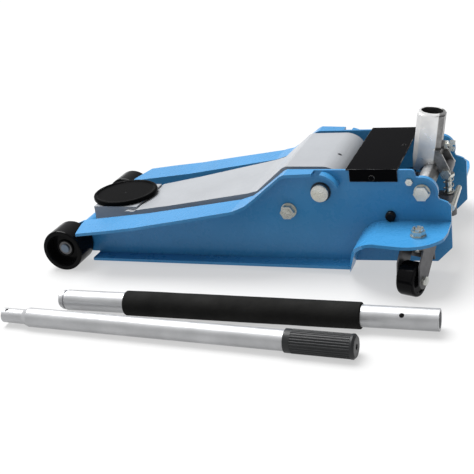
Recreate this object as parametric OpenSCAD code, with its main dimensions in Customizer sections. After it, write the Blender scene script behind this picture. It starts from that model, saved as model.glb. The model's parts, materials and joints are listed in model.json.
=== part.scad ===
// Low-profile trolley jack with its two-piece handle laid beside it.
// +X runs from the front rollers to the handle end, +Y to the right side, +Z up.
// Sub-parts are drawn in the jack's own frame: X from the front axle, Y from the
// centre plane, Z from the floor. jack_at moves them to the kit's frame.

/* [Chassis] */
// Front axle to the rear edge of the side plates
rear_x = 660; // [655:1:665]
// Outer faces of the side plates, from the centre plane
web_y = 102; // [101:0.5:103]
// Thickness of the side plates and their flanges
plate_t = 5; // [4.5:0.5:5.5]
// Height of the side plates' top edge
top_z = 167; // [165:1:169]
// Outer edge of the caster shelves, from the centre plane
shelf_reach = 200.5; // [198:0.5:202]
// Height of the caster shelves
shelf_z = 84.4; // [84:0.2:85]

/* [Front rollers] */
// Roller diameter
roller_d = 74; // [70:1:76]
// Roller length along the axle
roller_w = 49; // [46:1:50]
// Front axle diameter
axle_d = 16; // [14:1:18]

/* [Lift] */
// Main pivot shaft diameter
pivot_d = 28; // [26:1:30]
// Highest lift angle of the arm, in degrees
lift_max = 62; // [56:1:62]
// Saddle pad diameter
saddle_d = 118; // [112:1:120]
// Height of the saddle pad's rim when lowered
saddle_z = 90.5; // [90:0.5:92]
// Distance from the main pivot to the lever pin
lever_r = 50; // [49:0.5:51]

/* [Handle socket] */
// Bore that takes the handle
socket_bore = 34; // [33:0.5:35]
// Width across the flats of the socket
socket_w = 42; // [40:1:43]
// How far the socket leans back at rest, in degrees
socket_lean = 8.5; // [7:0.5:9]

/* [Casters] */
// Caster wheel diameter
caster_d = 52; // [50:1:53]
// Caster wheel width
caster_w = 28; // [24:1:28]
// Horizontal distance from the swivel to the wheel axle
caster_trail = 25; // [23:1:27]
// How far the casters are turned from straight out, in degrees
caster_turn = 18; // [10:1:20]

/* [Handle] */
// Lower handle tube diameter
lower_d = 32; // [31:0.5:33]
// Upper handle tube diameter
upper_d = 30; // [29:0.5:31]
// Foam sleeve diameter
foam_d = 39; // [37:0.5:41]
// Grip diameter over the ribs
grip_d = 35; // [34:0.5:36]

/* [Hidden] */
$fn = 64;
run = 0.05;
web_in = web_y - plate_t;
lip_z = 9;
lip_y = 127;
lip_front = 44;
lip_rear = 503;
roller_r = roller_d / 2;
axle_r = axle_d / 2;
roller_y0 = web_y + 1.5;
roller_y1 = roller_y0 + roller_w;

pivot = [460, 131];
pivot_r = pivot_d / 2;
anchor = [404.5, 99];
head = [92, 64];
link_end = head + anchor - pivot;
boss_r = top_z - pivot[1];
arm_t = 8;
arm_front = 109;
lever_pin_r = 11;
lever = pivot + lever_r * [sin(lift_max / 2), -cos(lift_max / 2)];

saddle_x = 60;
head_w = 56;
head_top = 82;

unit_z = 84;
unit_front = 512;
unit_rear = 596;
ram_r = 13;
ram_head_x = lever[0] + lever_pin_r + 0.8;
gland_end = unit_front + 8;
piston_x = unit_rear - 14;
block_top = 90.5;
base_top = 36;

hub = [618, 132];
hub_r = 14;
hub_bolt_r = 8;
socket_x = -10;
socket_h = 96;
socket_floor = 26;
bore_floor = 38;
cup_r = 15.8;
screw_z = 42.5;
roller_arm = 25;
pump_roller_r = 8.5;
pump_x = hub[0] + roller_arm;
pump_top = hub[1] + 1 - pump_roller_r - 0.3;
cap_t = 4;
pump_floor = 54;
pump_seat = 90;
valve_x = 605.4;
block_rear = 614;
stop_bolt = [599.5, 148.5];
rod_at = [rear_x + 0.5, 103];
rod_r = 4.5;
plug_at = [568.5, 92.6];
cover_x = [503, 583];
flap_x = [508, 582];
flap_z = 148.5;

caster_x = 619;
caster_y = 158.5;
fork_w = 38;
caster_reach = caster_y + (caster_trail + caster_d / 2) * cos(caster_turn) + (caster_w / 2 - 3) * sin(caster_turn);
fork_t = 2.5;

lower_x = [71, 667];
lower_y = -291;
foam_x = [190, 559];
tip_len = 18;
upper_end = [569, -372];
upper_len = 570;
upper_yaw = -3;
upper_tilt = 0.27;
grip_len = 100;
neck_len = 38;

kit_x = [-roller_r, lower_x[1]];
kit_y = [upper_end[1] - 3 * sin(upper_yaw) - grip_d / 2 * cos(upper_yaw), caster_reach];
jack_at = [-(kit_x[0] + kit_x[1]) / 2, -(kit_y[0] + kit_y[1]) / 2, 0];

// Points on an arc about c, from angle a0 to a1.
function arc(c, r, a0, a1, n = 12) =
    [for (i = [0 : n]) c + r * [cos(a0 + (a1 - a0) * i / n), sin(a0 + (a1 - a0) * i / n)]];

// Points moved by v.
function shift(points, v) = [for (p = points) p + v];

// Points in reverse order.
function back(points) = [for (i = [len(points) - 1 : -1 : 0]) points[i]];

module in_kit() {
    translate(jack_at) children();
}

module on_right() {
    mirror([0, 1, 0]) children();
}

module both_sides() {
    children();
    mirror([0, 1, 0]) children();
}

// An outline in X and Z, given thickness from y0 to y1.
module side_on(y0, y1) {
    translate([0, y1, 0]) rotate([90, 0, 0]) linear_extrude(y1 - y0) children();
}

// An outline in X and Y, given height from z0 to z1.
module plan(z0, z1) {
    translate([0, 0, z0]) linear_extrude(z1 - z0) children();
}

// A round bar across the jack at the side-view point p.
module bar(p, r, y0, y1) {
    translate([p[0], y0, p[1]]) rotate([-90, 0, 0]) cylinder(r = r, h = y1 - y0);
}

// A round bar along X.
module rod(x0, x1, z, r) {
    translate([x0, 0, z]) rotate([0, 90, 0]) cylinder(r = r, h = x1 - x0);
}

// A hexagon across the jack, flats across af.
module hex_bar(p, af, y0, y1) {
    translate([p[0], y0, p[1]]) rotate([-90, 0, 0]) cylinder(d = af / cos(30), h = y1 - y0, $fn = 6);
}

// A ring across the jack.
module ring(p, r_out, r_in, y0, y1) {
    difference() {
        bar(p, r_out, y0, y1);
        bar(p, r_in, y0 - 1, y1 + 1);
    }
}

// A flat strap outline with round ends of radii ra and rb, sides tangent to both.
module strap(a, ra, b, rb) {
    d = b - a;
    dist = norm(d);
    base = atan2(d[1], d[0]);
    lean = acos((ra - rb) / dist);
    polygon(concat(arc(a, ra, base + lean, base + 360 - lean, 32), arc(b, rb, base - lean, base + lean, 24)));
}

// A round wire wound about Z: coil radius r, wire radius w, height h between end centres.
module coil(r, w, h, turns, sides = 8, steps = 18) {
    n = ceil(turns * steps);
    points = [for (i = [0 : n], k = [0 : sides - 1])
        let (a = 360 * turns * i / n, b = 360 * k / sides, q = r + w * cos(b))
        [q * cos(a), q * sin(a), h * i / n + w * sin(b)]];
    walls = [for (i = [0 : n - 1], k = [0 : sides - 1])
        let (m = (k + 1) % sides)
        [i * sides + k, (i + 1) * sides + k, (i + 1) * sides + m, i * sides + m]];
    first = [for (k = [0 : sides - 1]) k];
    last = [for (k = [sides - 1 : -1 : 0]) n * sides + k];
    polyhedron(points, concat(walls, [first, last]), convexity = 8);
}

// ---- Chassis ----

// Top edge of a side plate, from the front axle to the flat top.
function top_edge() = concat(
    [[-14, 58], [22, 72.5], [150, 87.5], [323, 114.5]],
    [[345, 121.5], [357, 129.5], [402, 164.5], [408, top_z]]
);

module web_outline() {
    polygon(concat(
        arc([0, roller_r], 21, 270, 110),
        top_edge(),
        [[602, top_z]],
        arc([602, top_z - 6], 6, 80, 0, 4),
        [[609.5, 155.5]],
        arc(hub, 22, 94, -10, 12),
        [[643, 119.5]],
        [[649, 117.5], [655, 115], [rear_x, 109], [rear_x, 40], [638, 17], [lip_rear, 14]],
        [[lip_rear, lip_z], [lip_front, lip_z], [lip_front, 16]]
    ));
}

// Strip of plate thickness just below the top edge.
module flange_outline() {
    edge = concat([for (p = top_edge()) if (p[0] > 0) p], [[452, top_z]]);
    polygon(concat(edge, back(shift(edge, [0, -plate_t]))));
}

module flange_plan() {
    polygon([
        [24, -web_in], [27, -118], [39, -161], [96, -162], [220, -157], [330, -150],
        [372, -131], [412, -124], [452, -119], [452, -web_in],
    ]);
}

// Lip curved round a boss, such as the main pivot's.
module boss_lip(c, r, a0, a1, y_out) {
    side_on(-y_out, -web_in) polygon(concat(arc(c, r, a0, a1), arc(c, r - 4, a1, a0)));
}

module side_plate() {
    difference() {
        union() {
            side_on(-web_y, -web_in) web_outline();
            intersection() {
                side_on(-170, -web_in) flange_outline();
                plan(60, top_z + 1) flange_plan();
            }
            boss_lip(pivot, boss_r - 1.5, 82, 22, 119);
            boss_lip(hub, 24.5, 100, -14, 106);
            translate([lip_front, -lip_y, lip_z]) cube([lip_rear - lip_front, lip_y - web_in, plate_t]);
        }
        bar([0, roller_r], axle_r, -web_y - 20, 0);
        bar(pivot, pivot_r, -web_y - 1, 0);
        bar(anchor, 7, -web_y - 1, 0);
        bar(hub, hub_bolt_r, -web_y - 1, 0);
        bar(stop_bolt, 3, -web_y - 1, 0);
        bar(plug_at, 6, -web_y - 1, 0);
        bar([543, 155], 2.5, -web_y - 1, 0);
    }
}

module side_plate_left() {
    color("steelblue") in_kit() side_plate();
}

module side_plate_right() {
    color("steelblue") in_kit() on_right() side_plate();
}

// S-curved shelf: rises from the bottom lip, then runs level to the rear.
module shelf_outline() {
    bend = [560, shelf_z - 45];
    foot = bend + 45 * [cos(160), sin(160)];
    run_down = foot[1] - lip_z;
    low = [foot[0] - run_down / tan(70), lip_z];
    under = arc(bend, 45 - plate_t, 160, 90);
    polygon(concat(
        [low], arc(bend, 45, 160, 90), [[rear_x, shelf_z]],
        [[rear_x, shelf_z - plate_t]], back(under),
        [[low[0] + plate_t / sin(70), lip_z]]
    ));
}

module shelf_plan() {
    polygon(concat(
        [[495, -web_y], [495, -lip_y], [lip_rear, -lip_y]],
        [[512, -152], [524, -176], [540, -189], [566, -195]],
        arc([604, -shelf_reach + 57], 57, -95, -22, 16),
        [[rear_x, -145], [rear_x, -web_y]]
    ));
}

module caster_shelf() {
    difference() {
        intersection() {
            side_on(-shelf_reach - 5, -web_y) shelf_outline();
            plan(0, 100) shelf_plan();
        }
        translate([caster_x, -caster_y, 60]) cylinder(r = 6, h = 40);
        translate([490, -lip_y - 1, lip_z - 1]) cube([lip_rear - 490, lip_y - web_in + 2, plate_t + 1]);
    }
}

module caster_shelf_left() {
    color("steelblue") in_kit() caster_shelf();
}

module caster_shelf_right() {
    color("steelblue") in_kit() on_right() caster_shelf();
}

module front_cross_tube() {
    color("steelblue") in_kit() ring([0, roller_r], 15, axle_r, -web_in, web_in);
}

module front_axle() {
    color("lightsteelblue") in_kit() both_sides() {
        bar([0, roller_r], axle_r, -roller_y1 + 11, 0);
        bar([0, roller_r], axle_r - 1, -roller_y1 + 10, -roller_y1 + 11);
    }
}

// Deep-dished roller with a raised hub ring, drawn on the left side.
module front_roller() {
    difference() {
        translate([0, -roller_y1, roller_r]) rotate([-90, 0, 0]) rotate_extrude($fn = 96) polygon([
            [axle_r + run, 14.6], [12.6, 14.6], [12.6, 11.5], [14.6, 11.5], [16, 15], [25, 16], [28, 3], [29.5, 0],
            [roller_r - 2.5, 0], [roller_r - 0.7, 0.7], [roller_r, 2.5],
            [roller_r, roller_w - 2.5], [roller_r - 0.7, roller_w - 0.7], [roller_r - 2.5, roller_w],
            [27, roller_w], [26, roller_w - 4], [16, roller_w - 4], [15, roller_w],
            [axle_r + run, roller_w],
        ]);
        bar([0, roller_r], axle_r + run, -roller_y1 - 1, -roller_y0 + 1);
    }
}

module front_roller_left() {
    color("black") in_kit() front_roller();
}

module front_roller_right() {
    color("black") in_kit() on_right() front_roller();
}

module axle_clips() {
    color("silver") in_kit() both_sides()
        ring([0, roller_r], axle_r + 4, axle_r, -roller_y1 + 12.6, -roller_y1 + 14.2);
}

module tie_rod() {
    color("silver") in_kit() bar(anchor, 7, -web_y - 15, web_y + 15);
}

module tie_rod_nuts() {
    color("silver") in_kit() both_sides() {
        ring(anchor, 13, 7, -web_y - 2, -web_y);
        difference() {
            hex_bar(anchor, 20.5, -web_y - 13, -web_y - 2);
            bar(anchor, 7, -web_y - 14, -web_y);
        }
    }
}

module pivot_shaft() {
    color("silver") in_kit() both_sides() {
        bar(pivot, pivot_r, -web_y - 9, 0);
        bar(pivot, pivot_r - 1, -web_y - 10, -web_y - 9);
    }
}

// ---- Hydraulic unit ----

module unit_base_plate() {
    color("steelblue") in_kit() difference() {
        plan(base_top - 6, base_top) polygon([
            [506, -web_in], [570, -web_in], [block_rear, -24], [block_rear, 24], [570, web_in], [506, web_in],
        ]);
        for (y = [-13, 13]) translate([valve_x, y, 20]) cylinder(r = 4, h = 30);
    }
}

module unit_bolts() {
    color("dimgray") in_kit() for (y = [-13, 13]) {
        translate([valve_x, y, base_top - 6]) cylinder(r = 4, h = 20);
        translate([valve_x, y, base_top - 11]) cylinder(d = 13 / cos(30), h = 5, $fn = 6);
    }
}

module valve_block() {
    color("dimgray") in_kit() difference() {
        union() {
            translate([unit_rear, -20, base_top]) cube([block_rear - unit_rear, 40, block_top - base_top]);
            translate([unit_rear, -12, pump_floor]) cube([pump_x - unit_rear, 24, pump_seat - pump_floor]);
            translate([pump_x, 0, pump_floor]) cylinder(r = 12, h = pump_seat - pump_floor);
            intersection() {
                rod(unit_rear - 8, unit_rear, unit_z, 40);
                translate([500, -60, base_top]) cube([120, 120, 100]);
            }
        }
        rod(unit_rear - 9, unit_rear - 4, unit_z, 27);
        translate([pump_x, 0, pump_floor - 1]) cylinder(r = 9, h = 60);
        translate([valve_x, 0, 66]) cylinder(r = 5 + run, h = 40);
        for (y = [-13, 13]) translate([valve_x, y, 20]) cylinder(r = 4, h = 30);
    }
}

module reservoir() {
    color("gray") in_kit() difference() {
        rod(unit_front + 4, unit_rear - 8, unit_z, 39);
        rod(unit_front + 8, unit_rear - 7, unit_z, 36);
        rod(unit_front, unit_rear, unit_z, 27);
    }
}

module ram_cylinder() {
    color("gray") in_kit() difference() {
        rod(unit_front + 6, unit_rear - 4, unit_z, 27);
        rod(unit_front + 5, unit_rear - 7, unit_z, 20);
    }
}

module gland_nut() {
    color("gray") in_kit() difference() {
        union() {
            rod(unit_front, unit_front + 6, unit_z, 26);
            rod(unit_front + 6, gland_end, unit_z, 20);
        }
        rod(unit_front - 1, gland_end + 1, unit_z, ram_r + run);
    }
}

// Ram rod with its piston.
module ram_rod() {
    color("silver") in_kit() {
        rod(ram_head_x + 9, piston_x, unit_z, ram_r);
        rod(piston_x, piston_x + 5, unit_z, 19.5);
    }
}

module ram_spring() {
    wire = 1.2;
    room = piston_x - gland_end;
    color("slategray") in_kit() translate([gland_end + wire + 0.2, 0, unit_z]) rotate([0, 90, 0])
        coil(16.4, wire, room - 2 * wire - 0.4, 3);
}

// Crosshead on the ram rod; its flat face pushes the lever pin.
module ram_head() {
    color("gray") in_kit() difference() {
        translate([ram_head_x, -15, unit_z - 20]) cube([13, 30, 40]);
        rod(ram_head_x + 9, ram_head_x + 20, unit_z, ram_r);
    }
}

module pump_barrel() {
    color("gray") in_kit() translate([pump_x, 0, 0]) difference() {
        translate([0, 0, pump_floor]) cylinder(r = 9, h = pump_seat - pump_floor);
        translate([0, 0, pump_floor + 4]) cylinder(r = 5 + run, h = 60);
    }
}

module pump_plunger() {
    color("silver") in_kit() translate([pump_x, 0, 0]) {
        translate([0, 0, pump_floor + 24]) cylinder(r = 5, h = pump_top - pump_floor - 24 - cap_t);
        translate([0, 0, pump_top - cap_t]) cylinder(r = 10, h = cap_t);
    }
}

module pump_spring() {
    wire = 0.9;
    room = pump_top - cap_t - pump_seat;
    color("silver") in_kit() translate([pump_x, 0, pump_seat + wire + 0.2])
        coil(7.8, wire, room - 2 * wire - 0.4, 3);
}

// Release valve stem, with the open knuckle that the driver turns.
module release_valve() {
    color("gray") in_kit() translate([valve_x, 0, 0]) {
        translate([0, 0, 68]) cylinder(r = 5, h = 36);
        difference() {
            translate([0, 0, 96]) cylinder(r = 8, h = 16);
            translate([-10, -3, 104]) cube([20, 6, 10]);
        }
    }
}

// ---- Handle socket ----

module at_hub() {
    translate([hub[0], 0, hub[1]]) rotate([0, socket_lean, 0]) children();
}

// Slotted cup in the foot of the bore, on the shaft that turns the release valve.
module release_driver() {
    color("gray") in_kit() at_hub() translate([socket_x, 0, 0]) {
        translate([0, 0, -17]) cylinder(r = 4, h = socket_floor + 18);
        difference() {
            translate([0, 0, socket_floor + 0.3]) cylinder(r = cup_r, h = 10);
            translate([-20, -4, socket_floor + 5]) cube([40, 8, 10]);
        }
    }
}

module socket_section() {
    half = socket_w / 2;
    cut = 8;
    polygon([
        [half - cut, half], [half, half - cut], [half, cut - half], [half - cut, -half],
        [cut - half, -half], [-half, cut - half], [-half, half - cut], [cut - half, half],
    ]);
}

module handle_socket() {
    lug_root = [10, 30];
    lug_end = [roller_arm * cos(socket_lean) - sin(socket_lean), roller_arm * sin(socket_lean) + cos(socket_lean)];
    color("silver") in_kit() at_hub() difference() {
        union() {
            translate([socket_x, 0, 23]) linear_extrude(socket_h - 27) socket_section();
            translate([socket_x, 0, socket_h - 6]) cylinder(r = socket_w / 2 - 0.4, h = 6);
            hull() {
                translate([socket_x, 0, 23]) linear_extrude(1) socket_section();
                translate([socket_x + 1, 0, 0]) linear_extrude(1) square([socket_w - 4, socket_w - 12], center = true);
            }
            translate([0, -25, 22]) cube([12, 50, 18]);
            both_sides() side_on(22, 27) strap(lug_root, 7, lug_end, 8);
            translate([9, 0, screw_z]) rotate([0, 90, 0]) cylinder(r = 7, h = 6);
        }
        bar([0, 0], hub_r, -web_in, web_in);
        translate([socket_x, 0, socket_floor]) cylinder(r = cup_r + 0.6, h = socket_h);
        translate([socket_x, 0, bore_floor]) cylinder(d = socket_bore, h = socket_h);
        translate([socket_x, 0, -30]) cylinder(r = 4 + run, h = 80);
        both_sides() bar(lug_end, 5, 18, 28);
        translate([5, 0, screw_z]) rotate([0, 90, 0]) cylinder(r = 4 + run, h = 20);
    }
}

// Pivot tube under the socket, turning on the two socket bolts.
module socket_tube() {
    color("silver") in_kit() at_hub() difference() {
        bar([0, 0], hub_r, -web_in + 1.5, web_in - 1.5);
        both_sides() bar([0, 0], hub_bolt_r + run, -web_in, -70);
        translate([socket_x, 0, -30]) cylinder(r = 4 + run, h = 80);
    }
}

module socket_bolts() {
    color("silver") in_kit() both_sides() {
        bar(hub, hub_bolt_r, -web_y - 3, -71);
        ring(hub, 12.5, hub_bolt_r, -web_y - 2.5, -web_y);
        hex_bar(hub, 21, -web_y - 12, -web_y - 2.5);
    }
}

module socket_spring() {
    color("slategray") in_kit() translate([hub[0], 40, hub[1]]) rotate([-90, 0, 0])
        coil(17.5, 1.6, 22, 5);
}

module pump_roller() {
    color("gray") in_kit() ring([pump_x, hub[1] + 1], pump_roller_r, 5 + run, -20, 20);
}

module roller_bolt() {
    at = [pump_x, hub[1] + 1];
    color("silver") in_kit() {
        bar(at, 5, -27.2, 34);
        hex_bar(at, 14, -33, -27);
        difference() {
            hex_bar(at, 14, 27, 33);
            bar(at, 5, 26, 34);
        }
    }
}

// Clamping screw with a wing and a lock nut, in the back of the socket.
module wing_screw() {
    color("silver") in_kit() at_hub() translate([0, 0, screw_z]) rotate([0, 90, 0]) {
        translate([0, 0, 7.5]) cylinder(r = 4, h = 16);
        translate([0, 0, 15.3]) cylinder(d = 13 / cos(30), h = 5, $fn = 6);
        difference() {
            translate([-8.5, -1.8, 22]) cube([17, 3.6, 9]);
            translate([-2, -3, 27]) cube([4, 6, 5]);
        }
    }
}

module stop_bolts() {
    color("silver") in_kit() both_sides() {
        bar(stop_bolt, 3, -web_y - 1, -88);
        hex_bar(stop_bolt, 10, -web_y - 5, -web_y);
        difference() {
            hex_bar(stop_bolt, 10, -web_in, -92);
            bar(stop_bolt, 3, -web_in - 1, -90);
        }
    }
}

// Handle stop: a round rod that juts inwards from the left side plate.
module stop_rod() {
    color("silver") in_kit() {
        bar(rod_at, rod_r, -web_in + 2, -10);
        translate([rod_at[0], -10, rod_at[1]]) sphere(r = rod_r);
        translate([rear_x - 24, -web_in, 96]) cube([24, plate_t, 14]);
    }
}

// ---- Cover and small trim ----

module cover() {
    color("black") in_kit() difference() {
        union() {
            translate([cover_x[0], -web_y - 2, top_z]) cube([cover_x[1] - cover_x[0], 2 * web_y + 4, 2]);
            both_sides() translate([flap_x[0], -web_y - 2, flap_z]) cube([flap_x[1] - flap_x[0], 2, 20]);
        }
        bar([543, 155], 2.5, -web_y - 5, web_y + 5);
        translate([573, 10, top_z - 1]) cylinder(r = 3, h = 5);
    }
}

module cover_screws() {
    color("dimgray") in_kit() both_sides() {
        bar([543, 155], 2.5, -web_y - 2, -web_in + 4);
        bar([543, 155], 4.5, -web_y - 4, -web_y - 2);
    }
}

module access_plugs() {
    color("black") in_kit() both_sides() {
        bar(plug_at, 6, -web_y - 1, -web_in + 2);
        translate([plug_at[0], -web_y, plug_at[1]]) rotate([90, 0, 0]) rotate_extrude() polygon(concat(
            [[0, 0], [8, 0], [8, 3]], arc([5, 5], 3, 0, 90, 4), [[0, 8]]
        ));
    }
}

// ---- Lift arm and saddle ----

function arm_top() = [[arm_front, 79], [180, 91], [330, 119.5], [347, 124.5], [394, 164], [401, top_z]];

// One side of the arm: bent sheet with round ends at the head pin and the main pivot.
module arm_side() {
    side_on(-90, 0) polygon(concat(
        [[head[0], head[1] + 11.5], [103, 76]], arm_top(),
        [[pivot[0], top_z], [pivot[0], 108], [425, 112], [395, 110], [200, 78], [head[0], head[1] - 10]]
    ));
    bar(head, 13, -90, 0);
    bar(pivot, boss_r, -90, 0);
}

// Top plate: bent sheet that rolls down round the pivot boss at the rear.
module arm_plate() {
    edge = arm_top();
    side_on(-90, 90) polygon(concat(
        edge, [[pivot[0] + 0.5, top_z], [pivot[0] + 0.5, top_z - 6]], back(shift(edge, [0, -6]))
    ));
    difference() {
        bar(pivot, boss_r, -90, 90);
        bar(pivot, boss_r - 6, -91, 91);
        translate([pivot[0] - 50, -95, 80]) cube([50, 190, 100]);
        translate([pivot[0] - 1, -95, 80]) cube([50, 190, pivot[1] + 5 - 80]);
    }
}

function arm_half(w) = [[60, -64 + w], [arm_front, -64 + w], [350, -84 + w], [500, -86 + w]];

module lift_arm() {
    color("gainsboro") in_kit() difference() {
        union() {
            intersection() {
                arm_plate();
                both_sides() plan(20, 200) polygon(concat(arm_half(0), [[500, 1], [60, 1]]));
            }
            both_sides() intersection() {
                arm_side();
                plan(20, 200) polygon(concat(arm_half(0), back(arm_half(arm_t))));
            }
            bar(pivot, 21, -web_in + 1, web_in - 1);
            both_sides() side_on(16, 26) strap(pivot, 24, lever, 14);
        }
        bar(pivot, pivot_r + run, -web_y, web_y);
        bar(lever, lever_pin_r, -30, 30);
        bar(head, 7, -70, 70);
        translate([474, -20, top_z - 12]) cylinder(r = 3.5, h = 22);
    }
}

module lever_pin() {
    color("silver") in_kit() bar(lever, lever_pin_r, -27.5, 27.5);
}

module head_cheek_outline() {
    polygon([
        [22, head_top], [105, head_top], [105, 57], [96, 51], [84, 51], [link_end[0] + 9, 22], [28, 22], [22, 32],
    ]);
}

module saddle_head() {
    color("gray") in_kit() difference() {
        union() {
            both_sides() side_on(-head_w, -head_w + 8) head_cheek_outline();
            translate([22, -head_w, head_top - 9]) cube([85, 2 * head_w, 9]);
            translate([22, -head_w, 46]) cube([7, 2 * head_w, 30]);
            translate([saddle_x, 0, 58]) cylinder(r = 20, h = 20);
        }
        bar(head, 7 + run, -60, 60);
        bar(link_end, 7, -60, 60);
        translate([saddle_x, 0, 40]) cylinder(r = 12 + run, h = 60);
    }
}

module head_pin() {
    color("silver") in_kit() bar(head, 7, -65, 65);
}

module link() {
    difference() {
        side_on(-45, -39) strap(link_end, 9, anchor, 11);
        bar(link_end, 7 + run, -50, -30);
        bar(anchor, 7 + run, -50, -30);
    }
}

module link_left() {
    color("gray") in_kit() link();
}

module link_right() {
    color("gray") in_kit() on_right() link();
}

module link_pin() {
    color("silver") in_kit() bar(link_end, 7, -head_w - 2, head_w + 2);
}

module saddle_cup() {
    color("dimgray") in_kit() translate([saddle_x, 0, 0]) {
        translate([0, 0, 60]) cylinder(r = 12, h = 23);
        translate([0, 0, head_top + 0.6]) cylinder(r = 50, h = 3);
    }
}

// Rubber pad: a shallow dish with a raised rim, over the steel cup.
module saddle_pad() {
    r = saddle_d / 2;
    low = head_top + 0.6;
    color("black") in_kit() translate([saddle_x, 0, 0]) rotate_extrude($fn = 96) polygon([
        [50, low], [r - 2, low], [r, low + 2], [r, saddle_z - 1.5], [r - 1.5, saddle_z],
        [r - 5, saddle_z], [r - 8, saddle_z - 2.5], [0, saddle_z - 2.5], [0, low + 3], [50, low + 3],
    ]);
}

// ---- Casters, trailing outwards ----

module caster_kingpin() {
    translate([caster_x, -caster_y, 0]) {
        translate([0, 0, shelf_z - plate_t]) cylinder(r = 6, h = plate_t + 11);
        translate([0, 0, shelf_z - plate_t - 3]) cylinder(r = 23, h = 3);
        translate([0, 0, 66]) cylinder(r = 6, h = shelf_z - plate_t - 66);
        translate([0, 0, 62]) cylinder(r = 10, h = 6);
    }
}

module caster_kingpins() {
    color("silver") in_kit() both_sides() caster_kingpin();
}

// Castle nut on a washer.
module caster_nut() {
    translate([caster_x, -caster_y, shelf_z]) difference() {
        union() {
            cylinder(r = 12, h = 2);
            translate([0, 0, 2]) cylinder(d = 19 / cos(30), h = 7, $fn = 6);
            translate([0, 0, 9]) cylinder(r = 8.5, h = 4);
        }
        translate([0, 0, -1]) cylinder(r = 6, h = 20);
        for (a = [0, 60, 120]) rotate(a) translate([-12, -1.2, 9.8]) cube([24, 2.4, 5]);
    }
}

module caster_nuts() {
    color("silver") in_kit() both_sides() caster_nut();
}

// Side leg of the fork, seen from the wheel's end: wide at the top, round at the axle.
module fork_leg_outline() {
    polygon([[-19, 75.5], [19, 75.5], [19, 62], [8, 50], [-caster_trail + 13, 24], [-caster_trail - 13, 24], [-35, 52]]);
    translate([-caster_trail, caster_d / 2]) circle(13);
}

// The left caster's own frame: its kingpin at the origin, its wheel trailing along -Y.
module at_caster() {
    translate([caster_x, -caster_y, 0]) rotate(-caster_turn) children();
}

module caster_fork() {
    x0 = -fork_w / 2;
    at_caster() difference() {
        union() {
            translate([0, 0, 72.5]) cylinder(r = 22, h = 3.5);
            translate([x0, -22, 72.5]) cube([fork_w, 36, 3]);
            translate([x0, 11.5, 44]) cube([fork_w, 2.5, 30]);
            for (x = [x0 + fork_t, x0 + fork_w])
                translate([x, 0, 0]) rotate([90, 0, 0]) rotate([0, -90, 0])
                    linear_extrude(fork_t) mirror([1, 0]) fork_leg_outline();
        }
        translate([0, 0, 50]) cylinder(r = 6 + run, h = 40);
        translate([x0 - 1, -caster_trail, caster_d / 2]) rotate([0, 90, 0]) cylinder(r = 4, h = fork_w + 2);
    }
}

module caster_axle() {
    at_caster() translate([0, -caster_trail, 0]) {
        rod(-fork_w / 2 - 1, fork_w / 2 + 5, caster_d / 2, 4);
        rod(-fork_w / 2 - 4, -fork_w / 2, caster_d / 2, 6.5);
        difference() {
            translate([fork_w / 2, 0, caster_d / 2]) rotate([0, 90, 0]) cylinder(d = 13 / cos(30), h = 4.5, $fn = 6);
            rod(0, fork_w, caster_d / 2, 4);
        }
    }
}

module caster_wheel() {
    r = caster_d / 2;
    w = caster_w / 2;
    at_caster() translate([0, -caster_trail, r]) rotate([0, 90, 0]) rotate_extrude($fn = 96) polygon([
        [4 + run, -w - 1.5], [9, -w - 1.5], [9, -w + 2], [r - 8, -w + 2], [r - 6, -w],
        [r - 3, -w], [r - 0.9, -w + 0.9], [r, -w + 3], [r, w - 3], [r - 0.9, w - 0.9], [r - 3, w],
        [r - 6, w], [r - 8, w - 2], [9, w - 2], [9, w + 1.5], [4 + run, w + 1.5],
    ]);
}

module caster_fork_left() {
    color("silver") in_kit() caster_fork();
}

module caster_fork_right() {
    color("silver") in_kit() on_right() caster_fork();
}

module caster_axle_left() {
    color("silver") in_kit() caster_axle();
}

module caster_axle_right() {
    color("silver") in_kit() on_right() caster_axle();
}

module caster_wheel_left() {
    color("black") in_kit() caster_wheel();
}

module caster_wheel_right() {
    color("black") in_kit() on_right() caster_wheel();
}

// ---- Handle, in two sections on the floor ----

module on_lower() {
    translate([0, lower_y, foam_d / 2]) children();
}

module lower_handle() {
    color("silver") in_kit() on_lower() difference() {
        rod(lower_x[0] + tip_len, lower_x[1], 0, lower_d / 2);
        rod(lower_x[0], lower_x[1] + 1, 0, lower_d / 2 - 4);
        for (a = [48, 228]) translate([617, 0, 0]) rotate([a, 0, 0]) cylinder(r = 3.5, h = 30);
    }
}

// Steel plug in the lower end, with the tongue that turns the release driver.
module handle_tip() {
    r = lower_d / 2;
    color("dimgray") in_kit() on_lower() translate([lower_x[0], 0, 0]) {
        rotate([0, 90, 0]) rotate_extrude() polygon([
            [0, 3], [r - 5, 3], [r - 3, 5], [r - 3, 8], [r - 1, 9], [r - 1, 12], [r - 3, 13],
            [r - 3, 15], [r, 16.5], [r, tip_len], [r - 4, tip_len], [r - 4, tip_len + 20], [0, tip_len + 20],
        ]);
        translate([0, -3, -8]) cube([6, 6, 16]);
    }
}

module foam_sleeve() {
    r = foam_d / 2;
    color("black") in_kit() on_lower() translate([foam_x[0], 0, 0]) rotate([0, 90, 0]) rotate_extrude() {
        len = foam_x[1] - foam_x[0];
        polygon([
            [lower_d / 2, 0], [r - 2, 0], [r, 2], [r, len - 2], [r - 2, len], [lower_d / 2, len],
        ]);
    }
}

// Frame of the upper handle: its grip end at the origin, its axis along -X.
module on_upper() {
    translate([upper_end[0], upper_end[1], grip_d / 2 + 0.05])
        rotate([0, 0, upper_yaw]) rotate([0, -upper_tilt, 0]) children();
}

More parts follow.
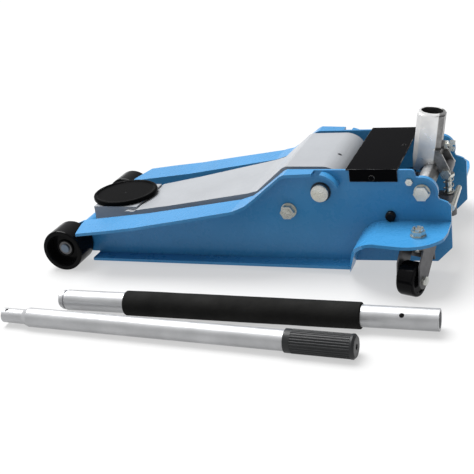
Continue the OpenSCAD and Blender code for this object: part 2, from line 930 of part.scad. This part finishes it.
module upper_handle() {
    neck_r = 11.5;
    color("silver") in_kit() on_upper() difference() {
        union() {
            rod(-upper_len + neck_len + 10, -1, 0, upper_d / 2);
            translate([-upper_len + neck_len, 0, 0]) rotate([0, 90, 0])
                cylinder(r1 = neck_r, r2 = upper_d / 2, h = 10);
            rod(-upper_len, -upper_len + neck_len, 0, neck_r);
        }
        rod(-upper_len - 1, 0, 0, neck_r - 3);
        for (a = [15, 195]) translate([-upper_len + 8, 0, 0]) rotate([a, 0, 0]) cylinder(r = 3, h = 30);
    }
}

module grip_section() {
    ribs = 28;
    circle(grip_d / 2 - 1.2);
    for (i = [0 : ribs - 1]) rotate(360 * i / ribs) translate([grip_d / 2 - 1.5, 0]) circle(1.2, $fn = 24);
}

// Ribbed grip with a plain collar, closed at the end but for a small vent.
module grip() {
    color("dimgray") in_kit() on_upper() difference() {
        union() {
            translate([-grip_len + 10, 0, 0]) rotate([0, 90, 0]) linear_extrude(grip_len - 16) grip_section();
            rod(-grip_len, -grip_len + 10, 0, grip_d / 2 - 0.6);
            translate([-6, 0, 0]) rotate([0, 90, 0]) rotate_extrude() polygon([
                [0, 0], [grip_d / 2, 0], [grip_d / 2, 3], [grip_d / 2 - 3, 6], [0, 6],
            ]);
        }
        rod(-grip_len - 1, -1, 0, upper_d / 2);
        rod(-10, 1, 0, 4);
    }
}

side_plate_left();
side_plate_right();
caster_shelf_left();
caster_shelf_right();
front_cross_tube();
front_axle();
front_roller_left();
front_roller_right();
axle_clips();
tie_rod();
tie_rod_nuts();
pivot_shaft();
unit_base_plate();
unit_bolts();
valve_block();
reservoir();
ram_cylinder();
gland_nut();
ram_rod();
ram_spring();
ram_head();
pump_barrel();
pump_plunger();
pump_spring();
release_valve();
release_driver();
handle_socket();
socket_tube();
socket_bolts();
socket_spring();
pump_roller();
roller_bolt();
wing_screw();
stop_bolts();
stop_rod();
cover();
cover_screws();
access_plugs();
lift_arm();
lever_pin();
saddle_head();
head_pin();
link_left();
link_right();
link_pin();
saddle_cup();
saddle_pad();
caster_kingpins();
caster_nuts();
caster_fork_left();
caster_fork_right();
caster_axle_left();
caster_axle_right();
caster_wheel_left();
caster_wheel_right();
lower_handle();
handle_tip();
foam_sleeve();
upper_handle();
grip();
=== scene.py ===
import json
import math

import bmesh
import bpy
from mathutils import Matrix, Vector, noise


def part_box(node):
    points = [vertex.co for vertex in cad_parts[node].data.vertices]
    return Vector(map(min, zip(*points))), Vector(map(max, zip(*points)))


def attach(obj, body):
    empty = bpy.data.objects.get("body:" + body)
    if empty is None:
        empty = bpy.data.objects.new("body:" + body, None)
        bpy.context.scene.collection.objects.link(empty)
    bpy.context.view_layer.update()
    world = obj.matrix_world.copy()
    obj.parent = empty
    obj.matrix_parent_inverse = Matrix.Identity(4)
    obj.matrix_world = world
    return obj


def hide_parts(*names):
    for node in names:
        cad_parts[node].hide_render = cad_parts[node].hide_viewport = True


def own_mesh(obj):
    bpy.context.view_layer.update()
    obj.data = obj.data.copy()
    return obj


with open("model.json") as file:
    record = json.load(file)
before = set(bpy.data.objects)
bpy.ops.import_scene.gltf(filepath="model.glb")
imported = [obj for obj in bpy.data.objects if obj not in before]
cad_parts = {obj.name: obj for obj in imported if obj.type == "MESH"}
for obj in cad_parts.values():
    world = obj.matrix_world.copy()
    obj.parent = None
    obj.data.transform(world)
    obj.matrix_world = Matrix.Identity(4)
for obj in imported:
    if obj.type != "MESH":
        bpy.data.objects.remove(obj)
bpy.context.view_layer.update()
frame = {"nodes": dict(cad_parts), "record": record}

scene = bpy.context.scene
NODES = frame["nodes"]
MM_PER_M = 1000

# The jack's own frame: X from the front axle, Y from the centre plane, Z from the floor.
AXLE_LOW, AXLE_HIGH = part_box("front_axle")
JACK = Vector(((AXLE_LOW[0] + AXLE_HIGH[0]) / 2, (AXLE_LOW[1] + AXLE_HIGH[1]) / 2, 0))


def at(x, y, z):
    """A point of the jack's own frame, in mm, in the row frame in metres."""
    return JACK + Vector((x, y, z)) / MM_PER_M


# ---- Camera ----

CAMERA_AZIMUTH, CAMERA_ELEVATION, CAMERA_ROLL = 22.4, 23.0, -7.7  # degrees
CAMERA_TARGET = at(336.5, -168.9, 80)
CAMERA_DISTANCE = 1.4392
SENSOR_WIDTH, FOCAL_LENGTH = 36, 69.35  # mm
FAR_CLIP = 100


def make_camera():
    azimuth, elevation = math.radians(CAMERA_AZIMUTH), math.radians(CAMERA_ELEVATION)
    roll = math.radians(CAMERA_ROLL)
    right = Vector((math.cos(azimuth), math.sin(azimuth), 0))
    back = Vector((math.sin(azimuth) * math.cos(elevation),
                   -math.cos(azimuth) * math.cos(elevation),
                   math.sin(elevation)))
    up = back.cross(right)
    turned_right = math.cos(roll) * right + math.sin(roll) * up
    turned_up = -math.sin(roll) * right + math.cos(roll) * up
    data = bpy.data.cameras.new("camera")
    data.sensor_width = SENSOR_WIDTH
    data.lens = FOCAL_LENGTH
    data.clip_end = FAR_CLIP
    camera = bpy.data.objects.new("camera", data)
    scene.collection.objects.link(camera)
    place = Matrix((turned_right, turned_up, back)).transposed().to_4x4()
    place.translation = CAMERA_TARGET + CAMERA_DISTANCE * back
    camera.matrix_world = place
    scene.camera = camera


make_camera()


# ---- Materials ----

EDGE_REACH = 0.0009  # how far in from an edge the edge tone reaches, in metres; it is paint wear on the silver and a painted highlight on the blue, the black paint and the black rubber
EDGE_SAMPLES = 4
# share of the paint colour in the painted shadow ring round the pivot
PIVOT_SHADOW_TONE = 0.04
# painted shade inside the socket's bore: share of the colour, and the width of its soft edge in
# metres
BORE_SHADE_TONE = 0.12
BORE_SHADE_BLUR = 0.0004
BACK_SHADE_TONES = 0.14, 0.34  # darkest and lightest share of the colour in the painted shade on the back face
BACK_SHADE_START, BACK_SHADE_END = 0.0125, 0.014  # metres behind the bore's axis where the painted shade on the back face fades in
DUST_TONE = (0.1, 0.1, 0.1)


def ramp(tree, value, start, end, low, high):
    """Maps value from start..end to low..high."""
    made = tree.nodes.new("ShaderNodeMapRange")
    numbers = {"From Min": start, "From Max": end, "To Min": low, "To Max": high}
    for label, number in numbers.items():
        made.inputs[label].default_value = number
    tree.links.new(value, made.inputs["Value"])
    return made.outputs["Result"]


class Finish:
    """A procedural material built on one Principled shader."""

    def __init__(self, name, roughness, metallic=0.0, **sockets):
        self.material = bpy.data.materials.new(name)
        self.material.use_nodes = True
        self.tree = self.material.node_tree
        self.shader = self.tree.nodes["Principled BSDF"]
        self.shader.inputs["Roughness"].default_value = roughness
        self.shader.inputs["Metallic"].default_value = metallic
        for label, value in sockets.items():
            self.shader.inputs[label.replace("_", " ")].default_value = value
        self.coordinates = self.node("ShaderNodeTexCoord").outputs["Object"]

    def node(self, kind, **values):
        made = self.tree.nodes.new(kind)
        for label, value in values.items():
            setattr(made, label, value)
        return made

    def join(self, source, target):
        self.tree.links.new(source, target)

    def vector_math(self, operation, first, second=None):
        """second is a socket or a constant vector."""
        made = self.node("ShaderNodeVectorMath", operation=operation)
        self.join(first, made.inputs[0])
        if isinstance(second, bpy.types.NodeSocket):
            self.join(second, made.inputs[1])
        elif second is not None:
            made.inputs[1].default_value = second
        return made

    def noise(self, scale, detail=3.0, rough=0.5, stretch=(1, 1, 1)):
        mapping = self.node("ShaderNodeMapping")
        mapping.inputs["Scale"].default_value = stretch
        self.join(self.coordinates, mapping.inputs["Vector"])
        made = self.node("ShaderNodeTexNoise")
        made.inputs["Scale"].default_value = scale
        made.inputs["Detail"].default_value = detail
        made.inputs["Roughness"].default_value = rough
        self.join(mapping.outputs["Vector"], made.inputs["Vector"])
        return made.outputs["Fac"]

    def span(self, value, low, high, from_low=0.3, from_high=0.7):
        """Maps value to low..high; the default start and end suit a noise."""
        return ramp(self.tree, value, from_low, from_high, low, high)

    def mix(self, factor, a, b):
        made = self.node("ShaderNodeMix", data_type="RGBA")
        for socket, value in zip((made.inputs[0], made.inputs[6], made.inputs[7]), (factor, a, b)):
            if isinstance(value, bpy.types.NodeSocket):
                self.join(value, socket)
            else:
                socket.default_value = (*value, 1)
        return made.outputs[2]

    def cloudy(self, color, dark, light, scale, detail=5, rough=0.5):
        """color, drifting between dark and light times itself."""
        cloud = self.noise(scale, detail, rough)
        return self.mix(self.span(cloud, 0, 1), scaled(color, dark), scaled(color, light))

    def color(self, value):
        self.join(value, self.shader.inputs["Base Color"])

    def uneven_roughness(self, value, middle, spread):
        self.join(self.span(value, middle - spread, middle + spread),
                  self.shader.inputs["Roughness"])

    def bump(self, height, distance):
        made = self.node("ShaderNodeBump")
        made.inputs["Strength"].default_value = 1.0
        made.inputs["Distance"].default_value = distance
        self.join(height, made.inputs["Height"])
        if self.shader.inputs["Normal"].links:
            self.join(self.shader.inputs["Normal"].links[0].from_socket, made.inputs["Normal"])
        self.join(made.outputs["Normal"], self.shader.inputs["Normal"])

    def offset(self, place):
        return self.vector_math("SUBTRACT", self.coordinates, place).outputs[0]

    def away(self, place, axis):
        """Distance from the line through place along axis, in metres."""
        across = self.vector_math("CROSS_PRODUCT", self.offset(place), axis).outputs[0]
        return self.vector_math("LENGTH", across).outputs["Value"]

    def edges(self):
        """1 at edges, 0 elsewhere."""
        bevel = self.node("ShaderNodeBevel", samples=EDGE_SAMPLES)
        bevel.inputs["Radius"].default_value = EDGE_REACH
        geometry = self.node("ShaderNodeNewGeometry")
        dot = self.vector_math("DOT_PRODUCT", bevel.outputs["Normal"], geometry.outputs["Normal"])
        return self.span(dot.outputs["Value"], 1.0, 0.0, 0.75, 0.97)


def scaled(color, factor):
    return tuple(min(1.0, channel * factor) for channel in color)


def painted(name, color, roughness, edge_wear_and_highlight, edge_wear_and_highlight_share, coat=0.0, peel=0.00002, spread=0.06,
            specular=0.5, pivot_shadow=None):
    """Sprayed paint: slight orange peel, cloudy tone, fine scuffs, and a tone at the edges: paint
    wear where it is darker, a painted highlight where it is lighter.

    The last argument is (centre, inner, outer): a painted shadow ring round a shaft along Y.
    """
    finish = Finish(name, roughness, Coat_Weight=coat, Coat_Roughness=0.12,
                    Specular_IOR_Level=specular)
    tone = finish.cloudy(color, 0.93, 1.06, scale=9, detail=4)
    dust = finish.noise(scale=60, detail=5, rough=0.6)
    tone = finish.mix(finish.span(dust, 0, 0.05, 0.55, 0.8), tone, scaled(color, 1.2))
    # Edge tone in patches: paint wear on the silver; a painted highlight, lighter than the paint,
    # on the blue, the black paint and the black rubber.
    patches = finish.noise(scale=70, detail=5, rough=0.7)
    wear_and_highlight_edges = finish.node("ShaderNodeMath", operation="MULTIPLY")
    finish.join(finish.edges(), wear_and_highlight_edges.inputs[0])
    finish.join(finish.span(patches, 0, edge_wear_and_highlight_share, 0.4, 0.62), wear_and_highlight_edges.inputs[1])
    tone = finish.mix(wear_and_highlight_edges.outputs[0], tone, edge_wear_and_highlight)
    # Painted shadow: a dark ring round the pivot where the shaft meets the plate.
    if pivot_shadow:
        centre, inner, outer = pivot_shadow
        ring = finish.span(finish.away(centre, (0, 1, 0)), 1, 0, inner, outer)
        tone = finish.mix(ring, tone, scaled(color, PIVOT_SHADOW_TONE))
    finish.color(tone)
    finish.uneven_roughness(finish.noise(scale=45, detail=5, rough=0.65), roughness, spread)
    finish.bump(finish.noise(scale=260, detail=1), peel)
    return finish.material


def plated(name, color, roughness, tint=None, grain=(1, 1, 14)):
    """Zinc plate or machined steel: metal with a fine turned grain and cloudy tarnish."""
    finish = Finish(name, roughness, 1.0)
    tone = finish.cloudy(color, 0.84, 1.08, scale=30, rough=0.6)
    if tint:
        tarnish = finish.span(finish.noise(scale=55), 0, 0.5, 0.45, 0.7)
        tone = finish.mix(tarnish, tone, tint)
    finish.color(tone)
    fine = finish.noise(scale=700, rough=0.6, stretch=grain)
    finish.uneven_roughness(fine, roughness, spread=0.08)
    finish.bump(fine, 0.00003)
    return finish.material


def cast(name, color, roughness, metallic, pits=0.00016, spread=0.08, foot=None, bore=None):
    """Cast or forged metal: sandy skin with shallow pits.

    foot is (tone, low, high): darker towards the bottom, turning to tone from high down to low.
    bore is (place, axis, radius): painted shade inside the bore, and painted shade on the back face
    behind it.
    """
    finish = Finish(name, roughness, metallic)
    tone = finish.cloudy(color, 0.86, 1.08, scale=26)
    if foot:
        darker_tone, low, high = foot
        split = finish.node("ShaderNodeSeparateXYZ")
        finish.join(finish.coordinates, split.inputs[0])
        tone = finish.mix(finish.span(split.outputs["Z"], 1, 0, low, high), tone, darker_tone)
    if bore:
        place, axis, radius = bore
        # Painted shade: the back face behind the bore and the inside of the bore are darkened.
        rearwards = Vector((0, 1, 0)).cross(Vector(axis))
        depth = finish.vector_math("DOT_PRODUCT", finish.offset(place), rearwards).outputs["Value"]
        rough = finish.cloudy(color, *BACK_SHADE_TONES, scale=90, rough=0.7)
        tone = finish.mix(finish.span(depth, 0, 1, BACK_SHADE_START, BACK_SHADE_END), tone, rough)
        inside = finish.span(finish.away(place, axis), 1, 0, radius, radius + BORE_SHADE_BLUR)
        tone = finish.mix(inside, tone, scaled(color, BORE_SHADE_TONE))
    finish.color(tone)
    finish.uneven_roughness(finish.noise(scale=120, detail=4), roughness, spread)
    finish.bump(finish.noise(scale=520, detail=4, rough=0.6), pits)
    return finish.material


def moulded(name, color, roughness, specular, grain=650, depth=0.00006, dusty=0.06):
    """Moulded plastic or rubber: pebbled skin, a little dust in places."""
    finish = Finish(name, roughness, Specular_IOR_Level=specular)
    tone = finish.cloudy(color, 0.8, 1.2, scale=20)
    dust = finish.noise(scale=38, detail=6, rough=0.7)
    finish.color(finish.mix(finish.span(dust, 0, dusty, 0.5, 0.75), tone, DUST_TONE))
    finish.uneven_roughness(finish.noise(scale=70, detail=4), roughness, spread=0.06)
    finish.bump(finish.noise(scale=grain), depth)
    return finish.material


def foam_finish():
    """Closed-cell foam: matte black, full of small open cells at the skin, with painted shade in
    the cells.
    """
    finish = Finish("black_foam_finish", 0.82, Specular_IOR_Level=0.08)
    dark, light, pit_shade = (0.007, 0.007, 0.0068), (0.013, 0.0128, 0.0122), (0.004, 0.004, 0.004)
    cells = finish.node("ShaderNodeTexVoronoi")
    cells.inputs["Scale"].default_value = 900
    finish.join(finish.coordinates, cells.inputs["Vector"])
    tone = finish.mix(finish.span(finish.noise(scale=22, detail=5), 0, 1), dark, light)
    # Painted shade: the open cells are darker.
    pits = finish.span(cells.outputs["Distance"], 0.5, 0, 0.0, 0.35)
    finish.color(finish.mix(pits, tone, pit_shade))
    finish.uneven_roughness(finish.noise(scale=60, detail=4), 0.82, spread=0.08)
    finish.bump(cells.outputs["Distance"], 0.00022)
    finish.bump(finish.noise(scale=75, detail=4), 0.0006)
    return finish.material


PIVOT_LOW, PIVOT_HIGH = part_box("pivot_shaft")
PIVOT = (Vector(PIVOT_LOW) + Vector(PIVOT_HIGH)) / 2
# Where the painted shadow ring round the pivot lies, in metres from its axis.
PIVOT_SHADOW_RING = PIVOT, 0.0155, 0.0175
# The socket turns darker towards the bottom, between these heights in metres.
SOCKET_FOOT = (0.4, 0.4, 0.4), 0.14, 0.155
MOUNT = next(row for row in frame["record"]["mounts"] if row["name"] == "handle_socket_bore")
SOCKET_BORE = MOUNT["pos_m"], MOUNT["axis"], MOUNT["dims"]["r_mm"] / MM_PER_M
BLUE = (0.036, 0.2, 0.42)
FINISHES = {
    # Blue: its lighter edge tone is a painted highlight.
    "blue_paint": painted("blue_paint_finish", BLUE, 0.28, edge_wear_and_highlight=(0.3, 0.45, 0.62), edge_wear_and_highlight_share=0.3,
                          coat=0.06, specular=0.25, pivot_shadow=PIVOT_SHADOW_RING),
    "silver_paint": painted("silver_paint_finish", (0.27, 0.282, 0.3), 0.4,
                            edge_wear_and_highlight=(0.25, 0.25, 0.26), edge_wear_and_highlight_share=0.2, coat=0.1),
    # Socket: its darker bore and back face are painted shade.
    "cast_socket": cast("cast_socket_finish", (0.88, 0.88, 0.875), 0.34, 0.75, pits=0.00002,
                        foot=SOCKET_FOOT, bore=SOCKET_BORE),
    "zinc_steel": plated("zinc_steel_finish", (0.6, 0.61, 0.58), 0.3, tint=(0.55, 0.53, 0.42)),
    "dark_steel": cast("dark_steel_finish", (0.1, 0.1, 0.105), 0.4, 0.7),
    "spring_steel": plated("spring_steel_finish", (0.4, 0.4, 0.41), 0.34, grain=(1, 1, 1)),
    "axle_steel": plated("axle_steel_finish", (0.12, 0.15, 0.19), 0.36),
    # Black paint on the cover: its light edge tone is a painted highlight along the bends.
    "black_paint": painted("black_paint_finish", (0.0025, 0.0025, 0.003), 0.12,
                           edge_wear_and_highlight=(0.5, 0.5, 0.5), edge_wear_and_highlight_share=0.8, spread=0.04, specular=0.008),
    "roller_black": moulded("roller_black_finish", (0.003, 0.003, 0.0034), 0.16, specular=0.06,
                            grain=300, depth=0.00002, dusty=0.01),
    "black_plastic": moulded("black_plastic_finish", (0.005, 0.005, 0.0055), 0.25,
                             specular=0.12, dusty=0.03),
    # Black rubber on the pad: its light edge tone is a painted highlight along the rim.
    "black_rubber": painted("black_rubber_finish", (0.0035, 0.0035, 0.0038), 0.16,
                            edge_wear_and_highlight=(0.4, 0.4, 0.4), edge_wear_and_highlight_share=0.7, peel=0.00004, spread=0.04,
                            specular=0.01),
    "tube_silver": cast("tube_silver_finish", (0.42, 0.425, 0.435), 0.42, 0.6, pits=0.00004,
                        spread=0.05),
    "black_foam": foam_finish(),
    "grey_grip": moulded("grey_grip_finish", (0.02, 0.021, 0.022), 0.4, specular=0.2,
                         grain=500, depth=0.0001),
}


def dress():
    """Gives each CAD node its slot's finish."""
    slots = {row["node"]: row["material_slot"] for row in frame["record"]["subparts"]}
    for name, obj in NODES.items():
        finish = FINISHES[slots[name]]
        if not obj.data.materials:
            obj.data.materials.append(finish)
        for slot in obj.material_slots:
            slot.link = "OBJECT"
            slot.material = finish


dress()


# ---- Rounded edges on the CAD nodes ----

ROUNDING = {  # mm
    "side_plate_left": 0.8, "side_plate_right": 0.8,
    "caster_shelf_left": 0.8, "caster_shelf_right": 0.8,
    "cover": 0.8, "lift_arm": 1.2, "saddle_head": 1.2, "handle_socket": 1.2,
    "tie_rod_nuts": 0.6, "socket_bolts": 0.8, "stop_bolts": 0.5,
    "wing_screw": 0.5, "roller_bolt": 0.5, "caster_nuts": 0.4,
    "caster_fork_left": 0.5, "caster_fork_right": 0.5, "link_left": 0.5, "link_right": 0.5,
    "valve_block": 1.0, "ram_head": 0.8, "unit_bolts": 0.5, "unit_base_plate": 0.6,
    "pivot_shaft": 0.4, "tie_rod": 0.4, "stop_rod": 0.4,
    "handle_tip": 0.4, "lower_handle": 0.4, "upper_handle": 0.4,
}
ROUNDING_ANGLE = 38  # degrees; flatter edges stay as they are
ROUNDING_SEGMENTS = 2


def round_edges():
    for name, width in ROUNDING.items():
        modifier = NODES[name].modifiers.new("rounding", "BEVEL")
        modifier.width = width / MM_PER_M
        modifier.segments = ROUNDING_SEGMENTS
        modifier.limit_method = "ANGLE"
        modifier.angle_limit = math.radians(ROUNDING_ANGLE)
        modifier.miter_outer = "MITER_ARC"


round_edges()


# ---- Pieces made here ----

def new_piece(name, verts, faces, slot, body, node):
    """A mesh piece that rides on body and stands for a CAD node."""
    mesh = bpy.data.meshes.new(name)
    mesh.from_pydata([tuple(v) for v in verts], [], faces)
    mesh.validate()
    build = bmesh.new()
    build.from_mesh(mesh)
    bmesh.ops.recalc_face_normals(build, faces=build.faces)
    build.to_mesh(mesh)
    build.free()
    mesh.polygons.foreach_set("use_smooth", [True] * len(mesh.polygons))
    mesh.materials.append(FINISHES[slot])
    piece = bpy.data.objects.new(name, mesh)
    scene.collection.objects.link(piece)
    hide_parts(node)
    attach(piece, body)
    return piece


def across(axis):
    """axis and two directions square to it, all of length 1."""
    axis = Vector(axis).normalized()
    first = axis.orthogonal().normalized()
    return axis, first, axis.cross(first)


def lathe(profile, start, axis, sides, warp=None):
    """Verts and faces of a closed (radius, height) profile turned about axis, in mm."""
    axis, first, second = across(axis)
    verts, faces, count = [], [], len(profile)
    for i in range(sides):
        turn = 2 * math.pi * i / sides
        out = math.cos(turn) * first + math.sin(turn) * second
        for radius, height in profile:
            point = start + (radius * out + height * axis) / MM_PER_M
            verts.append(warp(point, out) if warp else point)
    for i in range(sides):
        a, b = i * count, (i + 1) % sides * count
        for k in range(count):
            faces.append((a + k, b + k, b + (k + 1) % count, a + (k + 1) % count))
    return verts, faces


COIL_STEPS = 40  # rings of the wire in one turn
WIRE_SIDES = 12
END_TURN = 0.75  # closed share of a turn at each end of a ground spring


def coil(start, axis, radius, wire, height, turns, ground):
    """Verts and faces of a wound round wire; ground closes the coils at both ends."""
    axis, first, second = across(axis)
    total = int(turns * COIL_STEPS)
    closed = END_TURN / turns if ground else 0
    end_rise = 2 * wire * END_TURN
    verts, faces = [], []
    for i in range(total + 1):
        share = i / total
        if not ground:
            lift = height * share
        elif share < closed:
            lift = share / closed * end_rise
        elif share > 1 - closed:
            lift = height - (1 - share) / closed * end_rise
        else:
            lift = end_rise + (height - 2 * end_rise) * (share - closed) / (1 - 2 * closed)
        turn = 2 * math.pi * turns * share
        out = math.cos(turn) * first + math.sin(turn) * second
        centre = start + (radius * out + lift * axis) / MM_PER_M
        for k in range(WIRE_SIDES):
            angle = 2 * math.pi * k / WIRE_SIDES
            rim = math.cos(angle) * out + math.sin(angle) * axis
            verts.append(centre + wire / MM_PER_M * rim)
    for i in range(total):
        a, b = i * WIRE_SIDES, (i + 1) * WIRE_SIDES
        for k in range(WIRE_SIDES):
            after = (k + 1) % WIRE_SIDES
            faces.append((a + k, b + k, b + after, a + after))
    faces.append(tuple(range(WIRE_SIDES)))
    faces.append(tuple(total * WIRE_SIDES + k for k in range(WIRE_SIDES)))
    return verts, faces


def wound(box, along, radius, wire, turns, ground=True):
    """Start, verts and faces of a spring that fills box along axis number along, in mm."""
    low, high = box
    start = Vector([(a + b) / 2 for a, b in zip(low, high)])
    start[along] = low[along]
    axis = Vector([float(k == along) for k in range(3)])
    height = (high[along] - low[along]) * MM_PER_M - 2 * wire
    verts, faces = coil(start + axis * (wire / MM_PER_M), axis, radius, wire, height, turns, ground)
    return start, verts, faces


def make_springs():
    start, verts, faces = wound(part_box("pump_spring"), 2, radius=7.8, wire=0.9, turns=4)
    spring = new_piece("pump_return_spring", verts, faces, "zinc_steel", "chassis", "pump_spring")
    tuple(start)
    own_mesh(spring)

    start, verts, faces = wound(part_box("ram_spring"), 0, radius=16.4, wire=1.2, turns=3.5)
    spring = new_piece("ram_return_spring", verts, faces, "spring_steel", "chassis", "ram_spring")
    tuple(start)
    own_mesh(spring)

    start, verts, faces = wound(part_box("socket_spring"), 1, radius=17.5, wire=1.6, turns=5,
                                ground=False)
    new_piece("socket_return_spring", verts, faces, "spring_steel", "chassis", "socket_spring")


FOAM_BORE = 16.1  # mm, as the other foam sizes
FOAM_BORE_RELIEF = 0.8, 0.4  # outwards and along
FOAM_CORNER = 2.4
FOAM_CORNER_STEPS = 6
FOAM_STEPS = 120
FOAM_SIDES = 72
DENTS = (22, 0.35), (60, 0.12)  # frequency and height of the dents
DENT_TOP, DENT_SHIFT = 0.05, 0.12


def make_foam():
    low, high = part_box("foam_sleeve")
    length = (high[0] - low[0]) * MM_PER_M
    start = Vector((low[0], (low[1] + high[1]) / 2, (low[2] + high[2]) / 2))
    outer = (high[2] - low[2]) * MM_PER_M / 2
    out_by, along_by = FOAM_BORE_RELIEF
    turns = [math.pi / 2 * t / FOAM_CORNER_STEPS for t in range(FOAM_CORNER_STEPS + 1)]
    corner = [(FOAM_CORNER * math.sin(t), FOAM_CORNER * math.cos(t)) for t in turns]
    shoulder = outer - FOAM_CORNER
    profile = [(FOAM_BORE, along_by), (FOAM_BORE + out_by, 0)]
    profile += [(shoulder + rise, FOAM_CORNER - run) for rise, run in corner]
    profile += [(outer, FOAM_CORNER + (length - 2 * FOAM_CORNER) * i / FOAM_STEPS)
                for i in range(1, FOAM_STEPS)]
    profile += [(shoulder + run, length - FOAM_CORNER + rise) for rise, run in corner]
    profile += [(FOAM_BORE + out_by, length), (FOAM_BORE, length - along_by)]

    def warp(point, out):
        middle = Vector((point.x, start.y, start.z))
        if (point - middle).length * MM_PER_M < FOAM_BORE + 0.5:
            return point
        dent = sum(noise.noise(point * frequency) * height for frequency, height in DENTS)
        dent = min(dent, DENT_TOP) - DENT_SHIFT
        return point + out * dent / MM_PER_M

    verts, faces = lathe(profile, start, (1, 0, 0), FOAM_SIDES, warp)
    foam = new_piece("foam_grip_sleeve", verts, faces, "black_foam", "lower_handle", "foam_sleeve")


PAD_SIDES = 120
PAD_CENTRE = 0.5  # radius in mm, as the other pad sizes
PAD_SEAT = 50, 3.2  # radius and depth of the recess that sits on the cup
PAD_FOOT = (2, 0), (0.6, 0.6), (0, 2)  # in from the rim, up from the foot
PAD_RIM = ((0, 2.2), (0.5, 0.9), (1.6, 0.1), (2.6, 0),  # in from the rim, down from the top
           (4.6, 0), (5.6, 0.3), (6.6, 1.2), (7.4, 2.1))
PAD_DISH = 2.5
PAD_RINGS = range(10, 58, 4)  # in from the rim
PAD_ROUNDING = 0.0002


def make_pad():
    low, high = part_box("saddle_pad")
    outer = (high[0] - low[0]) * MM_PER_M / 2
    start = Vector(((low[0] + high[0]) / 2, (low[1] + high[1]) / 2, low[2]))
    top = (high[2] - low[2]) * MM_PER_M
    dish = top - PAD_DISH
    seat_radius, seat_depth = PAD_SEAT
    profile = [(seat_radius, 0)]
    profile += [(outer - inset, rise) for inset, rise in PAD_FOOT]
    profile += [(outer - inset, top - drop) for inset, drop in PAD_RIM]
    profile += [(outer - inset, dish) for inset in PAD_RINGS]
    profile += [(PAD_CENTRE, dish), (PAD_CENTRE, seat_depth), (seat_radius, seat_depth)]
    verts, faces = lathe(profile, start, (0, 0, 1), PAD_SIDES)
    pad = new_piece("saddle_rubber_pad", verts, faces, "black_rubber", "saddle", "saddle_pad")
    rounding = pad.modifiers.new("rounding", "BEVEL")
    rounding.width = PAD_ROUNDING
    rounding.segments = ROUNDING_SEGMENTS
    rounding.limit_method = "ANGLE"


make_springs()
make_foam()
make_pad()


# ---- Floor, light ----

FLOOR_HALF = 60
FLOOR_DROP = 0.0002
FLOOR_TONES = (0.23, 0.23, 0.23), (0.25, 0.25, 0.25)
FLOOR_GLOW = 0.52
WHITE = (1, 1, 1, 1)
SKY_TOWARDS = (-0.4, 0.0, 0.9)  # the sky is brightest this way: overhead and forwards
SKY_LEVELS = 0.04, 1.0
WALL_EDGE = 0.13, 0.2  # the low pale wall fades out between these slopes
WALL_LEVEL = 0.9
SUN_PLACE = (-0.9, 0.7, 2.4)
SUN_STRENGTH = 4.9
SUN_SPREAD = 40  # degrees


def make_floor():
    mesh = bpy.data.meshes.new("floor")
    corners = [(x * FLOOR_HALF, y * FLOOR_HALF, 0) for x, y in ((-1, -1), (1, -1), (1, 1), (-1, 1))]
    mesh.from_pydata(corners, [], [(0, 1, 2, 3)])
    floor = bpy.data.objects.new("floor", mesh)
    floor.location = (0, 0, -FLOOR_DROP)
    scene.collection.objects.link(floor)
    finish = Finish("floor_finish", 0.7, Specular_IOR_Level=0.1)
    finish.color(finish.mix(finish.span(finish.noise(scale=3), 0, 1), *FLOOR_TONES))
    finish.shader.inputs["Emission Color"].default_value = WHITE
    finish.shader.inputs["Emission Strength"].default_value = FLOOR_GLOW
    mesh.materials.append(finish.material)


def make_world():
    """A soft box of light, brighter overhead and towards the jack's front, over a low wall."""
    world = bpy.data.worlds.new("studio")
    scene.world = world
    world.use_nodes = True
    tree = world.node_tree
    background = tree.nodes["Background"]
    background.inputs["Color"].default_value = WHITE
    direction = tree.nodes.new("ShaderNodeTexCoord").outputs["Generated"]
    towards = tree.nodes.new("ShaderNodeVectorMath")
    towards.operation = "DOT_PRODUCT"
    towards.inputs[1].default_value = SKY_TOWARDS
    tree.links.new(direction, towards.inputs[0])
    sky = ramp(tree, towards.outputs["Value"], 0.0, 0.9, *SKY_LEVELS)
    split = tree.nodes.new("ShaderNodeSeparateXYZ")
    tree.links.new(direction, split.inputs["Vector"])
    wall = ramp(tree, split.outputs["Z"], *WALL_EDGE, WALL_LEVEL, 0.0)
    brighter = tree.nodes.new("ShaderNodeMath")
    brighter.operation = "MAXIMUM"
    tree.links.new(sky, brighter.inputs[0])
    tree.links.new(wall, brighter.inputs[1])
    tree.links.new(brighter.outputs["Value"], background.inputs["Strength"])


def make_sun():
    data = bpy.data.lights.new("key", "SUN")
    data.energy = SUN_STRENGTH
    data.angle = math.radians(SUN_SPREAD)
    sun = bpy.data.objects.new("key", data)
    scene.collection.objects.link(sun)
    sun.location = SUN_PLACE
    sun.rotation_euler = (-Vector(SUN_PLACE)).to_track_quat("-Z", "Y").to_euler()


make_floor()
make_world()
make_sun()
scene.view_settings.view_transform = "Standard"
